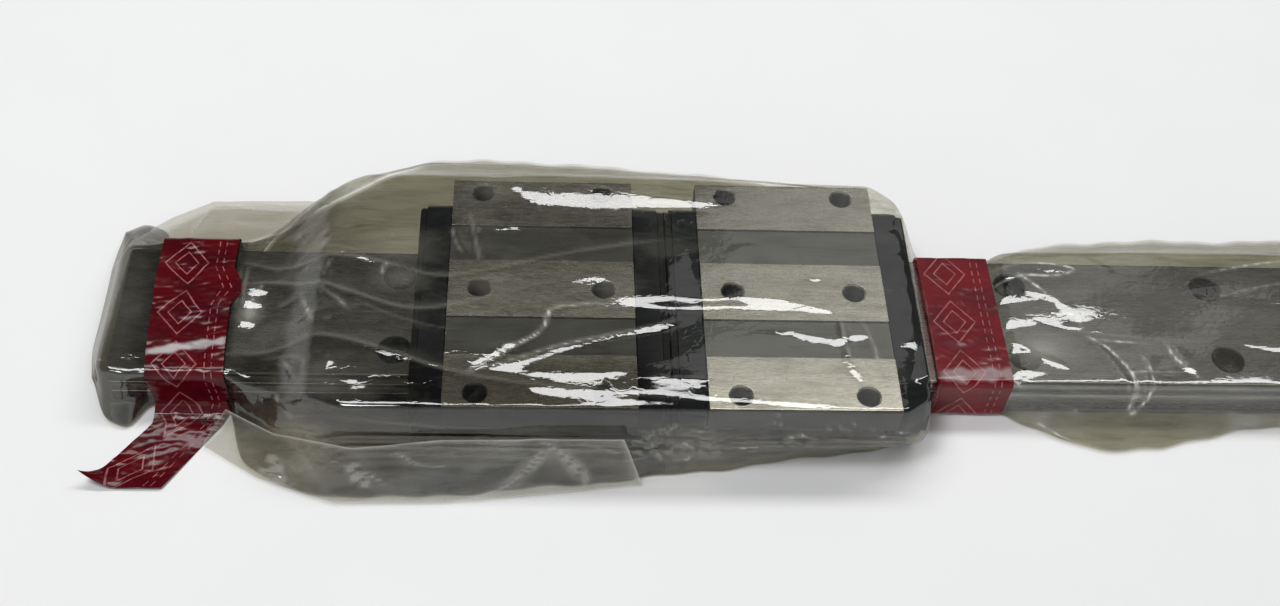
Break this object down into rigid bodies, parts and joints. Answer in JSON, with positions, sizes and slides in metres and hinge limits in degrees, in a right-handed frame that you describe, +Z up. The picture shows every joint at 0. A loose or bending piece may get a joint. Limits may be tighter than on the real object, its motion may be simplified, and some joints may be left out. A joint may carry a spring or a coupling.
{
  "type": "linear guide carriage on rail",
  "caption": "Wide flat linear guide rail with flanged ball carriages butted end to end, sealed in clear packing film and banded with red tape.",
  "frame": {"origin": "centre of the rail's base face, midway along the rail", "axes": "+X along the rail, +Y to the rear side, +Z up out of the carriages' mounting faces"},
  "size_m": [0.349, 0.1059, 0.0246],
  "materials": {
    "rail_steel": "ground, satin",
    "block_steel": "ground datum strips, matt blasted recesses",
    "bearing_steel": "polished",
    "black_resin": "moulded, fine matt texture",
    "seal_rubber": "matt",
    "screw_steel": "black oxide",
    "clear_film": "clear, glossy, creased",
    "red_tape": "glossy, wrinkled"
  },
  "bodies": {
    "guide_rail": {"rail": "rail_steel", "film_upper_web": "clear_film", "film_lower_web": "clear_film", "tape_band_left": "red_tape", "tape_band_right": "red_tape"},
    "right_carriage": {"right_carriage_block": "block_steel", "right_carriage_end_plate_left": "black_resin", "right_carriage_end_seal_left": "seal_rubber", "right_carriage_grease_plug_left": "screw_steel", "right_carriage_screw_left_rear_outer": "screw_steel", "right_carriage_screw_left_rear_inner": "screw_steel", "right_carriage_screw_left_front_inner": "screw_steel", "right_carriage_screw_left_front_outer": "screw_steel", "right_carriage_end_plate_right": "black_resin", "right_carriage_end_seal_right": "seal_rubber", "right_carriage_grease_plug_right": "screw_steel", "right_carriage_screw_right_rear_outer": "screw_steel", "right_carriage_screw_right_rear_inner": "screw_steel", "right_carriage_screw_right_front_inner": "screw_steel", "right_carriage_screw_right_front_outer": "screw_steel", "right_carriage_side_seal_rear": "seal_rubber", "right_carriage_balls_rear_upper": "bearing_steel", "right_carriage_balls_rear_lower": "bearing_steel", "right_carriage_side_seal_front": "seal_rubber", "right_carriage_balls_front_upper": "bearing_steel", "right_carriage_balls_front_lower": "bearing_steel"},
    "left_carriage": {"left_carriage_block": "block_steel", "left_carriage_end_plate_left": "black_resin", "left_carriage_end_seal_left": "seal_rubber", "left_carriage_grease_plug_left": "screw_steel", "left_carriage_screw_left_rear_outer": "screw_steel", "left_carriage_screw_left_rear_inner": "screw_steel", "left_carriage_screw_left_front_inner": "screw_steel", "left_carriage_screw_left_front_outer": "screw_steel", "left_carriage_end_plate_right": "black_resin", "left_carriage_end_seal_right": "seal_rubber", "left_carriage_grease_plug_right": "screw_steel", "left_carriage_screw_right_rear_outer": "screw_steel", "left_carriage_screw_right_rear_inner": "screw_steel", "left_carriage_screw_right_front_inner": "screw_steel", "left_carriage_screw_right_front_outer": "screw_steel", "left_carriage_side_seal_rear": "seal_rubber", "left_carriage_balls_rear_upper": "bearing_steel", "left_carriage_balls_rear_lower": "bearing_steel", "left_carriage_side_seal_front": "seal_rubber", "left_carriage_balls_front_upper": "bearing_steel", "left_carriage_balls_front_lower": "bearing_steel"}
  },
  "joints": [
    {"name": "right_carriage_slide", "type": "slide", "parent": "guide_rail", "child": "right_carriage", "axis": [1, 0, 0], "range_m": [-0.01, 0], "deforming": ["film_upper_web"]},
    {"name": "left_carriage_slide", "type": "slide", "parent": "right_carriage", "child": "left_carriage", "axis": [1, 0, 0], "range_m": [-0.01, 0], "deforming": ["film_upper_web"]}
  ]
}
